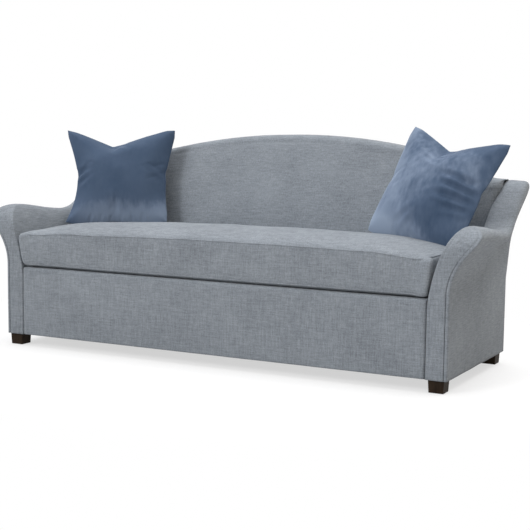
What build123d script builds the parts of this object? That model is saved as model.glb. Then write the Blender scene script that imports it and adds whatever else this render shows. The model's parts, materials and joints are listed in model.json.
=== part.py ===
"""A three-seat sofa with a camel back, flared arms, one bench cushion and two loose pillows."""
from build123d import *
from math import asin, atan, cos, degrees, radians, sin
import os

os.makedirs("parts", exist_ok=True)

# Whole sofa, in millimetres: -Y is the front, Z = 0 the floor, right is +X
base_width = 2000
base_depth = 707
overall_depth = 890
back_height = 921
deck_height = 341
foot_height = 50
cushion_bulge = 6
front_y = cushion_bulge - overall_depth / 2
rear_y = front_y + base_depth
side_x = base_width / 2

# Clearances and overruns
ease = 0.5
seat_gap = 0.3
overrun = 40

# Upholstery layers
cloth = 3
wadding = 12
dust_cloth = 1.5
facing = 5
outside_cloth = 4
front_pad = 9
hem_z = foot_height - dust_cloth

# Arms: an upright panel whose top leans outwards and ends in a rounded tip
arm_thickness = 84
arm_height = 611
arm_rear_height = 738
arm_flare = 107
arm_rear_flare = 52
flare_start = 355
flare_rear_start = 480
flare_rise = 115
tip_rise = 40
crest_setback = 65
crest_rear_setback = 26
tip_drop = 31
tip_rear_drop = 18
tip_round = 5
crest_run = 55
crest_rear_run = 100
lean_start = 300
lean_run = 100
lean_rear_run = 350
shoulder_lift = 150
roll_start = 480
roll_depth = 115
roll_drop = 11
round_share = 0.55
arm_crest_shares = (0, -0.04, -0.08, -0.15, -0.24, -0.31, -0.32, -0.16, 0.24, 0.61, 0.89, 1, 1.02)
arm_flare_shares = (0, 0.06, 0.12, 0.17, 0.24, 0.36, 0.50, 0.64, 0.77, 0.88, 0.96, 1, 1)
front_post_top = 520

# Back: upright below the seat, raked above it, with a camel-shaped top
rake_start = 350
back_top_thickness = 98
inside_back_depth = 604
inside_back_rise = 500
inside_crown = 12
back_half = 950
back_roll = 30
crown_radius = 2850
crown_half = 678
shoulder_angle = 31
shoulder_radius = 330
valley_angle = 3

# Frame timber
board = 22
rail = 30
frame_depth = 45
post_depth = 60
front_post_depth = 50
rail_top = 300
tuck_z = 310
arm_rail_drop = 100
arm_rail_depth = 30
arm_rail_x = 985
arm_rail_thickness = 19
tack_rail_depth = 45
deck_lip = 100
deck_edge = 12
stretcher_width = 45
stretcher_height = 40
stretcher_count = 3
stretcher_spacing = 460
block_leg = 85
block_height = 60
upright_width = 50
upright_thickness = 24
upright_spacing = 450
upright_count = 4
top_rail_depth = 95
lower_rail_z = 372
lower_rail_depth = 60

# Springs and webbing
spring_count = 11
spring_spacing = 150
spring_wire = 3.6
spring_wave = 46
spring_pitch = 44
clip_width = 16
clip_length = 26
clip_plate = 1.6
webbing_count = 10
webbing_spacing = 170
webbing_width = 60
webbing_thickness = 1.5

# Seat cushion
cushion_gap = 2
cushion_rear_gap = 14
cushion_thickness = 148
cushion_front_rise = 17
cushion_crown = 36
cushion_end_crown = 10
cushion_corner = 16
cushion_shares = (-1, -0.9, -0.7, -0.4, 0, 0.4, 0.7, 0.9, 1)
zip_length = 1500
zip_tape = 30
zip_tape_thickness = 1.2
zip_coil = 6
zip_coil_thickness = 2.4
zip_height = 70
slider_length = 14
slider_width = 10
slider_thickness = 6
pull_length = 26
pull_width = 5
pull_thickness = 1.2

# Pillows: a velvet cover with pointed corners over a plump insert
pillow_size = 480
pillow_thickness = 150
pillow_seam = 5
pillow_cloth = 2
pillow_margin = 16
pillow_rise_shares = (0, 0.34, 0.63, 0.86, 1)
pillow_size_shares = (1, 0.88, 0.73, 0.53, 0.24)
pillow_sag_shares = (1, 0.65, 0.2, -0.3, -0.3)

left_pillow_x = -714
left_pillow_y = -20
left_pillow_z = 560
left_pillow_angles = (25.3, -26.3, -0.5)
left_pillow_dip_shares = (0.03, 0.06, 0.13, 0.1)
right_pillow_x = 706
right_pillow_y = -98
right_pillow_z = 570
right_pillow_angles = (-24, -29, 6)
right_pillow_dip_shares = (0.03, -0.05, 0.15, 0.03)
settle_steps = 6

# Feet
foot_top = 62
foot_bottom = 56
foot_side_inset = 12
foot_front_inset = 6
foot_edge = 2
bolt_radius = 4
bolt_clearance = 0.3
bolt_depth = 28
bolt_rise = 45
glide_radius = 13
glide_thickness = 1.5

# Places worked out from the sizes above
rake = (overall_depth / 2 - rear_y) / (back_height - rake_start)
inside_back_y = front_y + inside_back_depth
arm_inner_x = side_x - arm_thickness
arm_wall = cloth + ease + wadding
frame_inner_x = arm_inner_x + arm_wall + seat_gap
frame_outer_x = side_x - arm_wall - seat_gap
arm_front_y = front_y + facing + seat_gap
board_rear_y = arm_front_y + board
post_rear_y = board_rear_y + front_post_depth
frame_rear_y = rear_y - outside_cloth - ease
post_front_y = frame_rear_y - post_depth
back_post_x = back_half + seat_gap
rail_front_y = front_y + cloth + front_pad + ease
rail_rear_y = rail_front_y + rail
rear_rail_y = frame_rear_y - rail
frame_gap = outside_cloth + ease
timber_inset = arm_wall + seat_gap
arm_depth_shares = [row / (len(arm_crest_shares) - 1) for row in range(len(arm_crest_shares))]
arm_reach = overall_depth / 2 + overrun - front_y
deck_pad_low = rail_top + clip_plate + spring_wire + seat_gap
deck_pad_top = deck_height - cloth - ease
deck_half = arm_inner_x - seat_gap
deck_rear_y = inside_back_y - seat_gap
dust_half = side_x - cloth - ease
foot_x = side_x - foot_side_inset - foot_top / 2
foot_front_y = front_y + foot_front_inset + foot_top / 2
foot_rear_y = rear_y - foot_front_inset - foot_top / 2
cushion_half = arm_inner_x - cushion_gap
cushion_rear_y = inside_back_y - cushion_rear_gap
zip_z = deck_height + zip_height


def keep(piece, name):
    """Label a finished piece and write it to its own file."""
    piece.part.label = name
    export_step(piece.part, f"parts/{name}.step")


def rear_line(z):
    """Depth of the sofa's rear surface at a height."""
    return rear_y + max(0, z - rake_start) * rake


def rear_slab(near, far, low, high, half):
    """A slab along the rear, between two depths in front of the rear surface."""
    levels = [low, rake_start, high] if low < rake_start < high else [low, high]
    behind = [(rear_line(z) - near, z) for z in levels]
    before = [(rear_line(z) - far, z) for z in reversed(levels)]
    with BuildPart() as slab:
        with BuildSketch(Plane.YZ):
            with BuildLine():
                Polyline(*behind, *before, close=True)
            make_face()
        extrude(amount=half, both=True)
    return slab.part


def block(corner, opposite):
    """A plain block between two opposite corners."""
    low = tuple(min(a, b) for a, b in zip(corner, opposite))
    high = tuple(max(a, b) for a, b in zip(corner, opposite))
    with BuildPart(Location(low)) as piece:
        Box(*(b - a for a, b in zip(low, high)), align=(Align.MIN, Align.MIN, Align.MIN))
    return piece.part


# Arm forms: cross-sections, drawn in by an inset, lofted from front to back; side is 1 or -1


def arm_outline(side, share, crest_share, flare_share, inset):
    """One cross-section of an arm."""
    crest_z = arm_height + crest_share * (arm_rear_height - arm_height)
    reach = side_x + arm_flare + flare_share * (arm_rear_flare - arm_flare)
    flare_z = flare_start + flare_share * (flare_rear_start - flare_start)
    run = crest_run + flare_share * (crest_rear_run - crest_run)
    lean = lean_run + flare_share * (lean_rear_run - lean_run) + max(0, crest_share) * shoulder_lift
    tip_x = reach - inset
    tip_z = crest_z - max(tip_drop + flare_share * (tip_rear_drop - tip_drop), inset + tip_round)
    crest_x = reach - crest_setback - flare_share * (crest_rear_setback - crest_setback)
    top_z = crest_z - inset
    outer_x = side_x - inset
    inner_x = arm_inner_x + inset
    round_z = tip_z + round_share * (top_z - tip_z)
    round_x = crest_x + round_share * (tip_x - crest_x)
    with BuildSketch(Plane((0, front_y + share * arm_reach, 0), (side, 0, 0), (0, -side, 0))) as outline:
        with BuildLine():
            Line((inner_x, hem_z), (outer_x, hem_z))
            Line((outer_x, hem_z), (outer_x, flare_z))
            Bezier(
                (outer_x, flare_z),
                (outer_x, flare_z + flare_rise),
                (tip_x, tip_z - tip_rise),
                (tip_x, tip_z),
            )
            Bezier((tip_x, tip_z), (tip_x, round_z), (round_x, top_z), (crest_x, top_z))
            Bezier(
                (crest_x, top_z),
                (crest_x - run, top_z),
                (inner_x, lean_start + lean),
                (inner_x, lean_start),
            )
            Line((inner_x, lean_start), (inner_x, hem_z))
        make_face()
    return outline.sketch


def arm_form(side, inset):
    """An arm's whole form, running on past the back."""
    with BuildPart() as form:
        loft([arm_outline(side, *row, inset) for row in zip(
            arm_depth_shares, arm_crest_shares, arm_flare_shares
        )])
    return form.part


def arm_clip(side, low, start, gap):
    """The space that the arm's pieces fill: its front rolls back at the top, and a gap is left at the rear."""
    levels = [low, rake_start, arm_rear_height + overrun]
    behind = [(rear_line(z) - gap, z) for z in levels]
    roll_y = start + roll_depth
    roll_top = arm_height - roll_drop - (start - front_y)
    roll_turn = roll_start + round_share * (roll_top - roll_start)
    roll_reach = roll_y - round_share * roll_depth
    with BuildPart() as clip:
        with BuildSketch(Plane.YZ):
            with BuildLine():
                Polyline(
                    (start, roll_start), (start, low), *behind, (roll_y, levels[-1]), (roll_y, roll_top)
                )
                Bezier((roll_y, roll_top), (roll_reach, roll_top), (start, roll_turn), (start, roll_start))
            make_face()
        extrude(amount=side * (side_x + arm_flare + overrun))
    return clip.part


# Back forms: the camel-shaped region, cut to the side profile


def camel_region(top_inset, end_inset, low):
    """The camel-backed outline, seen from the front."""
    turn = degrees(asin(crown_half / crown_radius))
    top_z = back_height - top_inset
    crown_end = (crown_half, top_z - crown_radius * (1 - cos(radians(turn))))
    bend_run = shoulder_radius * (sin(radians(shoulder_angle)) - sin(radians(turn)))
    bend_drop = shoulder_radius * (cos(radians(turn)) - cos(radians(shoulder_angle)))
    bend_end = (crown_end[0] + bend_run, crown_end[1] - bend_drop)
    valley_run = back_half - bend_end[0]
    valley_radius = valley_run / (sin(radians(shoulder_angle)) - sin(radians(valley_angle)))
    valley_drop = valley_radius * (cos(radians(valley_angle)) - cos(radians(shoulder_angle)))
    valley_end = (back_half, bend_end[1] - valley_drop)
    with BuildSketch(Plane.XZ) as region:
        with BuildLine():
            RadiusArc((0, top_z), crown_end, crown_radius)
            RadiusArc(crown_end, bend_end, shoulder_radius)
            RadiusArc(bend_end, valley_end, -valley_radius)
            Polyline(valley_end, (back_half, low), (0, low), (0, top_z))
        make_face()
        mirror(about=Plane.YZ)
        if end_inset:
            Rectangle(2 * (back_half - end_inset), 2 * back_height, mode=Mode.INTERSECT)
    return region.sketch


def back_form(inset, end_inset, gap, top_inset):
    """The back between the arms: a raked profile with a crowned face and a rolled top edge."""
    low = deck_pad_low
    face_y = inside_back_y + inset
    top_y = rear_line(back_height) - back_top_thickness + inset
    middle = Vector((face_y + top_y) / 2, (inside_back_rise + back_height) / 2)
    lean = Vector(top_y - face_y, back_height - inside_back_rise).normalized()
    bulge = middle + Vector(-lean.Y, lean.X) * inside_crown
    with BuildPart() as form:
        with BuildSketch(Plane.YZ):
            with BuildLine():
                Polyline((face_y, inside_back_rise), (face_y, low), (rear_line(low) - gap, low))
                Line((rear_line(low) - gap, low), (rear_line(rake_start) - gap, rake_start))
                Line((rear_line(rake_start) - gap, rake_start), (rear_line(back_height) - gap, back_height))
                Line((rear_line(back_height) - gap, back_height), (top_y, back_height))
                ThreePointArc((top_y, back_height), (bulge.X, bulge.Y), (face_y, inside_back_rise))
            make_face()
        extrude(amount=back_half - end_inset, both=True)
        extrude(
            camel_region(top_inset, end_inset, low), amount=overall_depth, both=True, mode=Mode.INTERSECT
        )
        rim = form.faces().filter_by(lambda face: face.normal_at().Z > 0.5).edges()
        rim = [edge for edge in rim if edge.center().Y < rear_line(edge.center().Z) - back_top_thickness / 2]
        rim = [edge for edge in rim if edge.bounding_box().size.X > overrun]
        if back_roll > inset:
            fillet(rim, radius=back_roll - inset)
    return form.part


def timber_zone(inset, far):
    """The space along the rear that the back's frame and webbing fill."""
    with BuildPart() as zone:
        add(rear_slab(-overrun, far, rail_top - overrun, back_height, back_half))
        extrude(
            camel_region(inset, inset, rail_top - overrun),
            amount=overall_depth,
            both=True,
            mode=Mode.INTERSECT,
        )
    return zone.part


# Cushion form: a crowned, boxed bench cushion, lofted from end to end


def cushion_form(inset):
    """The bench cushion, drawn in by an inset."""
    low = deck_height + seat_gap + inset
    rear = cushion_rear_y - inset
    front = front_y + inset
    sections = []
    for share in cushion_shares:
        swell = 1 - share**4
        rear_z = deck_height + cushion_thickness - inset
        front_z = rear_z + cushion_front_rise * swell
        crown_z = (rear_z + front_z) / 2 + cushion_end_crown + (cushion_crown - cushion_end_crown) * swell
        with BuildSketch(Plane((share * (cushion_half - inset), 0, 0), (0, 1, 0), (1, 0, 0))) as section:
            with BuildLine():
                Polyline((front, low), (rear, low), (rear, rear_z))
                ThreePointArc((rear, rear_z), ((rear + front) / 2, crown_z), (front, front_z))
                ThreePointArc((front, front_z), (front - cushion_bulge, (front_z + low) / 2), (front, low))
            make_face()
        sections.append(section.sketch)
    with BuildPart() as form:
        loft(sections)
        with BuildSketch(Plane.XY.offset(low)):
            with Locations((0, (front - cushion_bulge + rear) / 2)):
                RectangleRounded(
                    2 * (cushion_half - inset), rear - front + cushion_bulge, cushion_corner - inset
                )
        extrude(amount=2 * cushion_thickness, mode=Mode.INTERSECT)
    return form.part


# Pillow form: four pointed corners, drawn-in sides and a plump middle


def pillow_outline(plane, size, dips):
    """One outline of a pillow whose sides dip inwards between the corners."""
    width, height = size
    bottom, right, top, left = dips
    centre = pillow_size / 2
    low = centre - height / 2
    high = centre + height / 2
    reach = width / 2
    with BuildSketch(plane) as outline:
        with BuildLine():
            ThreePointArc((-reach, low), (0, low + bottom * height), (reach, low))
            ThreePointArc((reach, low), (reach - right * width, centre), (reach, high))
            ThreePointArc((reach, high), (0, high - top * height), (-reach, high))
            ThreePointArc((-reach, high), (left * width - reach, centre), (-reach, low))
        make_face()
    return outline.sketch


def pillow_form(place, dips, margin, skin):
    """A pillow on its place, drawn in by a margin at the seam and a skin at the faces."""
    face = Plane(place * Rot(90, 0, 0))
    size = pillow_size - 2 * margin
    half_seam = (pillow_seam - skin) / 2
    swell = pillow_thickness / 2 - skin - half_seam
    rows = list(zip(pillow_rise_shares, pillow_size_shares, pillow_sag_shares))
    with BuildPart() as form:
        for turn in (1, -1):
            sections = []
            for rise, spread, sag in rows:
                level = face.offset(turn * (half_seam + rise * swell))
                sections.append(pillow_outline(level, (size * spread,) * 2, [dip * sag for dip in dips]))
            loft(sections)
        extrude(pillow_outline(face, (size, size), dips), amount=half_seam, both=True)
    return form.part


def settle(place, dips, support):
    """Lower a pillow until it rests a gap above what carries it."""
    for _ in range(settle_steps):
        gap = pillow_form(place, dips, 0, 0).distance_to(support) - seat_gap
        place = Pos(0, 0, -gap) * place
    return place


# Arms


for side, hand in ((1, "right"), (-1, "left")):
    skin = arm_form(side, 0)
    lining = arm_form(side, cloth)
    padding = arm_form(side, cloth + ease)
    cavity = arm_form(side, arm_wall)
    timber = arm_form(side, timber_inset)
    back_space = back_form(-ease, -ease, -overrun, -overrun)
    under_seat = block(
        (0, front_y - overrun, hem_z - overrun), (side * frame_inner_x, rear_y + overrun, tuck_z)
    )

    with BuildPart() as arm_cover:
        add(arm_clip(side, hem_z, arm_front_y, frame_gap))
        add(under_seat, mode=Mode.SUBTRACT)
        add(back_space, mode=Mode.SUBTRACT)
        add(skin, mode=Mode.INTERSECT)
        add(lining, mode=Mode.SUBTRACT)
    keep(arm_cover, f"{hand}_arm_cover")

    with BuildPart() as arm_pad:
        add(arm_clip(side, foot_height, arm_front_y, frame_gap))
        add(under_seat, mode=Mode.SUBTRACT)
        add(back_space, mode=Mode.SUBTRACT)
        add(padding, mode=Mode.INTERSECT)
        add(cavity, mode=Mode.SUBTRACT)
    keep(arm_pad, f"{hand}_arm_pad")

    with BuildPart() as arm_facing:
        add(arm_clip(side, hem_z, front_y, frame_gap))
        add(arm_clip(side, hem_z - overrun, front_y + facing, -overrun), mode=Mode.SUBTRACT)
        add(skin, mode=Mode.INTERSECT)
    keep(arm_facing, f"{hand}_arm_facing")

    with BuildPart() as arm_front_board:
        add(arm_clip(side, foot_height, arm_front_y, frame_gap))
        add(block((0, front_y, 0), (2 * side * side_x, board_rear_y, back_height)), mode=Mode.INTERSECT)
        add(timber, mode=Mode.INTERSECT)
    keep(arm_front_board, f"{hand}_arm_front_board")

    with BuildPart() as front_post:
        add(block(
            (side * frame_inner_x, board_rear_y, foot_height),
            (2 * side * side_x, post_rear_y, front_post_top),
        ))
        add(timber, mode=Mode.INTERSECT)
        with Locations((side * foot_x, foot_front_y, foot_height + bolt_rise / 2)):
            Cylinder(bolt_radius + bolt_clearance, bolt_rise, mode=Mode.SUBTRACT)
    keep(front_post, f"{hand}_front_post")

    with BuildPart() as back_post:
        add(rear_slab(frame_gap, frame_gap + post_depth, foot_height, arm_rear_height, side_x + arm_flare))
        add(timber, mode=Mode.INTERSECT)
        add(
            block((side * back_post_x, front_y, 0), (-side * side_x, back_height, back_height)),
            mode=Mode.SUBTRACT,
        )
        with Locations((side * foot_x, foot_rear_y, foot_height + bolt_rise / 2)):
            Cylinder(bolt_radius + bolt_clearance, bolt_rise, mode=Mode.SUBTRACT)
    keep(back_post, f"{hand}_back_post")

    with BuildPart() as side_rail:
        add(block(
            (side * (frame_outer_x - rail), post_rear_y, foot_height),
            (side * frame_outer_x, post_front_y, rail_top),
        ))
    keep(side_rail, f"{hand}_side_rail")

    with BuildPart() as arm_tack_rail:
        add(block(
            (side * back_post_x, post_rear_y, tuck_z),
            (side * (back_post_x + arm_rail_thickness), post_front_y, tuck_z + tack_rail_depth),
        ))
        add(timber, mode=Mode.INTERSECT)
        add(rear_slab(0, frame_gap + post_depth, foot_height, arm_height, side_x), mode=Mode.SUBTRACT)
    keep(arm_tack_rail, f"{hand}_arm_tack_rail")

    crest = [
        (
            front_y + share * arm_reach,
            arm_height + crest_share * (arm_rear_height - arm_height) - arm_rail_drop,
        )
        for share, crest_share in zip(arm_depth_shares, arm_crest_shares)
    ]
    with BuildPart() as arm_top_rail:
        with BuildSketch(Plane.YZ.offset(side * arm_rail_x)):
            with BuildLine():
                Polyline(*crest, *[(y, z - arm_rail_depth) for y, z in reversed(crest)], close=True)
            make_face()
        extrude(amount=side * arm_rail_thickness)
        add(
            block((0, post_rear_y, 0), (2 * side * side_x, overall_depth, back_height)), mode=Mode.INTERSECT
        )
        add(
            rear_slab(-overall_depth, frame_gap + post_depth, 0, back_height, 2 * side_x),
            mode=Mode.SUBTRACT,
        )
        add(timber, mode=Mode.INTERSECT)
    keep(arm_top_rail, f"{hand}_arm_top_rail")

    with BuildPart() as back_stile:
        stile_x = side * (back_half - timber_inset)
        add(rear_slab(frame_gap, frame_gap + upright_thickness, rail_top, back_height, back_half))
        add(
            block(
                (stile_x, front_y, rail_top), (stile_x - side * upright_width, overall_depth, back_height)
            ),
            mode=Mode.INTERSECT,
        )
        extrude(
            camel_region(timber_inset + top_rail_depth, 0, 0),
            amount=overall_depth,
            both=True,
            mode=Mode.INTERSECT,
        )
    keep(back_stile, f"{hand}_back_stile")

# Frame under the seat

with BuildPart() as front_rail:
    add(block((-frame_inner_x, rail_front_y, foot_height), (frame_inner_x, rail_rear_y, rail_top)))
keep(front_rail, "front_rail")

with BuildPart() as rear_rail:
    add(block((-back_post_x, rear_rail_y, foot_height), (back_post_x, frame_rear_y, rail_top)))
keep(rear_rail, "rear_rail")

with BuildPart(Plane.XY.offset(foot_height)) as seat_stretchers:
    with Locations((0, (rail_rear_y + rear_rail_y) / 2)):
        with GridLocations(stretcher_spacing, 0, stretcher_count, 1):
            Box(
                stretcher_width,
                rear_rail_y - rail_rear_y,
                stretcher_height,
                align=(Align.CENTER, Align.CENTER, Align.MIN),
            )
keep(seat_stretchers, "seat_stretchers")

with BuildPart() as corner_blocks:
    with BuildSketch(Plane.XY.offset(rail_top - block_height)):
        with BuildLine():
            Polyline(
                (frame_inner_x, rail_rear_y),
                (frame_inner_x - block_leg, rail_rear_y),
                (frame_inner_x, rail_rear_y + block_leg),
                close=True,
            )
        make_face()
        with BuildLine():
            Polyline(
                (back_post_x, rear_rail_y),
                (back_post_x - block_leg, rear_rail_y),
                (back_post_x, rear_rail_y - block_leg),
                close=True,
            )
        make_face()
        mirror(about=Plane.YZ)
    extrude(amount=block_height)
keep(corner_blocks, "corner_blocks")

# Frame of the back

with BuildPart() as back_uprights:
    with BuildSketch(Plane.XY.offset(rail_top)):
        with Locations((0, rear_y)):
            with GridLocations(upright_spacing, 0, upright_count, 1):
                Rectangle(upright_width, overall_depth)
    extrude(amount=back_height)
    add(
        rear_slab(frame_gap, frame_gap + upright_thickness, rail_top, back_height, back_half),
        mode=Mode.INTERSECT,
    )
    extrude(
        camel_region(timber_inset + top_rail_depth, 0, 0),
        amount=overall_depth,
        both=True,
        mode=Mode.INTERSECT,
    )
keep(back_uprights, "back_uprights")

with BuildPart() as back_top_rail:
    add(rear_slab(frame_gap, frame_gap + frame_depth, rail_top, back_height, back_half))
    extrude(
        camel_region(timber_inset, timber_inset, 0), amount=overall_depth, both=True, mode=Mode.INTERSECT
    )
    extrude(
        camel_region(timber_inset + top_rail_depth, 0, 0),
        amount=overall_depth,
        both=True,
        mode=Mode.SUBTRACT,
    )
keep(back_top_rail, "back_top_rail")

with BuildPart() as back_lower_rail:
    add(rear_slab(
        frame_gap + upright_thickness,
        frame_gap + frame_depth,
        lower_rail_z,
        lower_rail_z + lower_rail_depth,
        back_half - timber_inset,
    ))
keep(back_lower_rail, "back_lower_rail")

with BuildPart() as back_webbing:
    with BuildSketch(Plane.XY.offset(rail_top)):
        with Locations((0, rear_y)):
            with GridLocations(webbing_spacing, 0, webbing_count, 1):
                Rectangle(webbing_width, overall_depth)
    extrude(amount=back_height)
    add(
        rear_slab(
            frame_gap + frame_depth,
            frame_gap + frame_depth + webbing_thickness,
            lower_rail_z,
            back_height,
            back_half,
        ),
        mode=Mode.INTERSECT,
    )
    extrude(
        camel_region(timber_inset + top_rail_depth / 2, 0, lower_rail_z),
        amount=overall_depth,
        both=True,
        mode=Mode.INTERSECT,
    )
keep(back_webbing, "back_webbing")

# Upholstered back

with BuildPart() as inside_back_cover:
    add(back_form(0, 0, frame_gap, 0))
    add(back_form(cloth, cloth, -overrun, cloth), mode=Mode.SUBTRACT)
keep(inside_back_cover, "inside_back_cover")

with BuildPart() as inside_back_pad:
    add(back_form(cloth + ease, cloth + ease, frame_gap, cloth + ease))
    add(timber_zone(arm_wall, frame_gap + frame_depth + webbing_thickness + ease), mode=Mode.SUBTRACT)
keep(inside_back_pad, "inside_back_pad")

with BuildPart() as outside_back:
    for side in (1, -1):
        add(arm_form(side, 0))
    extrude(camel_region(0, 0, hem_z), amount=overall_depth, both=True)
    add(rear_slab(0, outside_cloth, hem_z, back_height, 2 * side_x), mode=Mode.INTERSECT)
keep(outside_back, "outside_back")

# Springs and seat deck

spring_start = rail_front_y + rail / 2
spring_end = rear_rail_y + rail / 2
spring_turns = 2 * round((spring_end - spring_start) / spring_pitch)
spring_step = (spring_end - spring_start) / spring_turns
spring_side = (spring_wire / 2) * (spring_wave**2 + spring_step**2) ** 0.5 / spring_step
bends = [(
    (-1) ** turn * spring_wave / 2, spring_start + turn * spring_step
) for turn in range(spring_turns + 1)]
with BuildSketch() as zigzag:
    with BuildLine():
        Polyline(
            *[(x + spring_side, y) for x, y in bends],
            *[(x - spring_side, y) for x, y in reversed(bends)],
            close=True,
        )
    make_face()
with BuildPart() as seat_springs:
    with BuildSketch(Plane.XY.offset(rail_top + clip_plate)):
        with GridLocations(spring_spacing, 0, spring_count, 1):
            add(zigzag.sketch)
    extrude(amount=spring_wire)
keep(seat_springs, "seat_springs")

with BuildPart(Plane.XY.offset(rail_top)) as spring_clips:
    with Locations((0, (spring_start + spring_end) / 2)):
        with GridLocations(spring_spacing, spring_end - spring_start, spring_count, 2):
            Box(clip_width, clip_length, clip_plate, align=(Align.CENTER, Align.CENTER, Align.MIN))
keep(spring_clips, "spring_clips")

with BuildPart() as seat_deck_pad:
    add(block((-deck_half, rail_rear_y + seat_gap, deck_pad_low), (deck_half, deck_rear_y, deck_pad_top)))
keep(seat_deck_pad, "seat_deck_pad")

with BuildPart() as deck_cloth:
    add(block(
        (-deck_half, front_y + deck_lip + seat_gap, deck_height - cloth),
        (deck_half, deck_rear_y, deck_height),
    ))
keep(deck_cloth, "deck_cloth")

with BuildPart() as front_rail_pad:
    with BuildSketch(Plane.YZ):
        with BuildLine():
            Polyline(
                (front_y + cloth + ease, foot_height),
                (front_y + cloth + ease, deck_pad_top),
                (rail_rear_y, deck_pad_top),
                (rail_rear_y, deck_pad_low),
                (rail_front_y, deck_pad_low),
                (rail_front_y, foot_height),
                close=True,
            )
        make_face()
    extrude(amount=deck_half, both=True)
    fillet(
        front_rail_pad.edges().filter_by(Axis.X).group_by(Axis.Z)[-1].sort_by(Axis.Y)[0],
        radius=deck_edge - cloth - ease,
    )
keep(front_rail_pad, "front_rail_pad")

with BuildPart() as front_rail_cover:
    with BuildSketch(Plane.YZ):
        with BuildLine():
            FilletPolyline(
                (front_y + cloth, hem_z),
                (front_y + cloth, deck_height - cloth),
                (front_y + deck_lip, deck_height - cloth),
                radius=deck_edge - cloth,
            )
            Line((front_y + deck_lip, deck_height - cloth), (front_y + deck_lip, deck_height))
            FilletPolyline(
                (front_y + deck_lip, deck_height),
                (front_y, deck_height),
                (front_y, hem_z),
                radius=deck_edge,
            )
            Line((front_y, hem_z), (front_y + cloth, hem_z))
        make_face()
    extrude(amount=deck_half, both=True)
keep(front_rail_cover, "front_rail_cover")

# Feet and dust cover

foot_places = [(side * foot_x, y) for side in (-1, 1) for y in (foot_front_y, foot_rear_y)]

with BuildPart() as dust_cover:
    add(block((-dust_half, arm_front_y, hem_z), (dust_half, frame_rear_y, foot_height)))
    with BuildSketch(Plane.XY.offset(hem_z)):
        with Locations(*foot_places):
            Rectangle(foot_top + 2 * seat_gap, foot_top + 2 * seat_gap)
    extrude(amount=dust_cloth, mode=Mode.SUBTRACT)
keep(dust_cover, "dust_cover")

foot_taper = degrees(atan((foot_top - foot_bottom) / 2 / (foot_height - glide_thickness)))
for (x, y), name in zip(
    foot_places, ("left_front_foot", "left_rear_foot", "right_front_foot", "right_rear_foot")
):
    with BuildPart() as foot:
        with BuildSketch(Plane((x, y, foot_height))):
            RectangleRounded(foot_top, foot_top, foot_edge)
        extrude(amount=-(foot_height - glide_thickness), taper=foot_taper)
        with Locations((x, y, foot_height - bolt_depth / 2)):
            Cylinder(bolt_radius + bolt_clearance, bolt_depth, mode=Mode.SUBTRACT)
    keep(foot, name)

with BuildPart() as foot_bolts:
    with BuildSketch(Plane.XY.offset(foot_height - bolt_depth)):
        with Locations(*foot_places):
            Circle(bolt_radius)
    extrude(amount=bolt_depth + bolt_rise)
keep(foot_bolts, "foot_bolts")

with BuildPart() as foot_glides:
    with BuildSketch():
        with Locations(*foot_places):
            Circle(glide_radius)
    extrude(amount=glide_thickness)
keep(foot_glides, "foot_glides")

# Seat cushion and its zip

with BuildPart() as seat_cushion_cover:
    add(cushion_form(0))
    add(cushion_form(cloth), mode=Mode.SUBTRACT)
keep(seat_cushion_cover, "seat_cushion_cover")

with BuildPart() as seat_cushion_core:
    add(cushion_form(cloth + ease))
keep(seat_cushion_core, "seat_cushion_core")

with BuildPart() as zip_tape_strip:
    add(block(
        (-zip_length / 2, cushion_rear_y, zip_z - zip_tape / 2),
        (zip_length / 2, cushion_rear_y + zip_tape_thickness, zip_z + zip_tape / 2),
    ))
keep(zip_tape_strip, "zip_tape")

coil_front_y = cushion_rear_y + zip_tape_thickness
with BuildPart() as zip_coil_strip:
    add(block(
        (-zip_length / 2, coil_front_y, zip_z - zip_coil / 2),
        (zip_length / 2, coil_front_y + zip_coil_thickness, zip_z + zip_coil / 2),
    ))
keep(zip_coil_strip, "zip_coil")

slider_x = slider_length - zip_length / 2
slider_front_y = coil_front_y + seat_gap
with BuildPart() as zip_slider:
    add(block(
        (slider_x - slider_length / 2, slider_front_y, zip_z - slider_width / 2),
        (slider_x + slider_length / 2, slider_front_y + slider_thickness, zip_z + slider_width / 2),
    ))
    add(
        block(
            (slider_x - slider_length, coil_front_y, zip_z - zip_coil / 2 - seat_gap),
            (
                slider_x + slider_length,
                coil_front_y + zip_coil_thickness + seat_gap,
                zip_z + zip_coil / 2 + seat_gap,
            ),
        ),
        mode=Mode.SUBTRACT,
    )
    add(block(
        (slider_x - pull_width / 2, slider_front_y + slider_thickness, zip_z - pull_length),
        (
            slider_x + pull_width / 2,
            slider_front_y + slider_thickness + pull_thickness,
            zip_z + slider_width / 2,
        ),
    ))
keep(zip_slider, "zip_slider")

# Pillows

support = cushion_form(0)
pillows = (
    (
        "left_pillow",
        (left_pillow_x, left_pillow_y, left_pillow_z),
        left_pillow_angles,
        left_pillow_dip_shares,
    ),
    (
        "right_pillow",
        (right_pillow_x, right_pillow_y, right_pillow_z),
        right_pillow_angles,
        right_pillow_dip_shares,
    ),
)
for name, point, (yaw, tilt, roll), dips in pillows:
    place = settle(Pos(*point) * Rot(0, 0, yaw) * Rot(tilt, 0, 0) * Rot(0, roll, 0), dips, support)

    with BuildPart() as pillow_cover:
        add(pillow_form(place, dips, 0, 0))
        add(pillow_form(place, dips, pillow_margin, pillow_cloth), mode=Mode.SUBTRACT)
    keep(pillow_cover, f"{name}_cover")

    with BuildPart() as pillow_insert:
        add(pillow_form(place, dips, pillow_margin + ease, pillow_cloth + ease))
    keep(pillow_insert, f"{name}_insert")
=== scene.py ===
# %% [markdown]
# # A camelback sofa with flared arms
# This lesson dresses a sofa whose frame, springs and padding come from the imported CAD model. The upholstery
# is made here: linen laid over the arms and the back, a crowned bench cushion and two velvet pillows. Every
# length is in metres, -Y is the front, and Z = 0 is the floor.

# %% Load the frame
import json
from math import cos, pi, radians, sin

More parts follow.
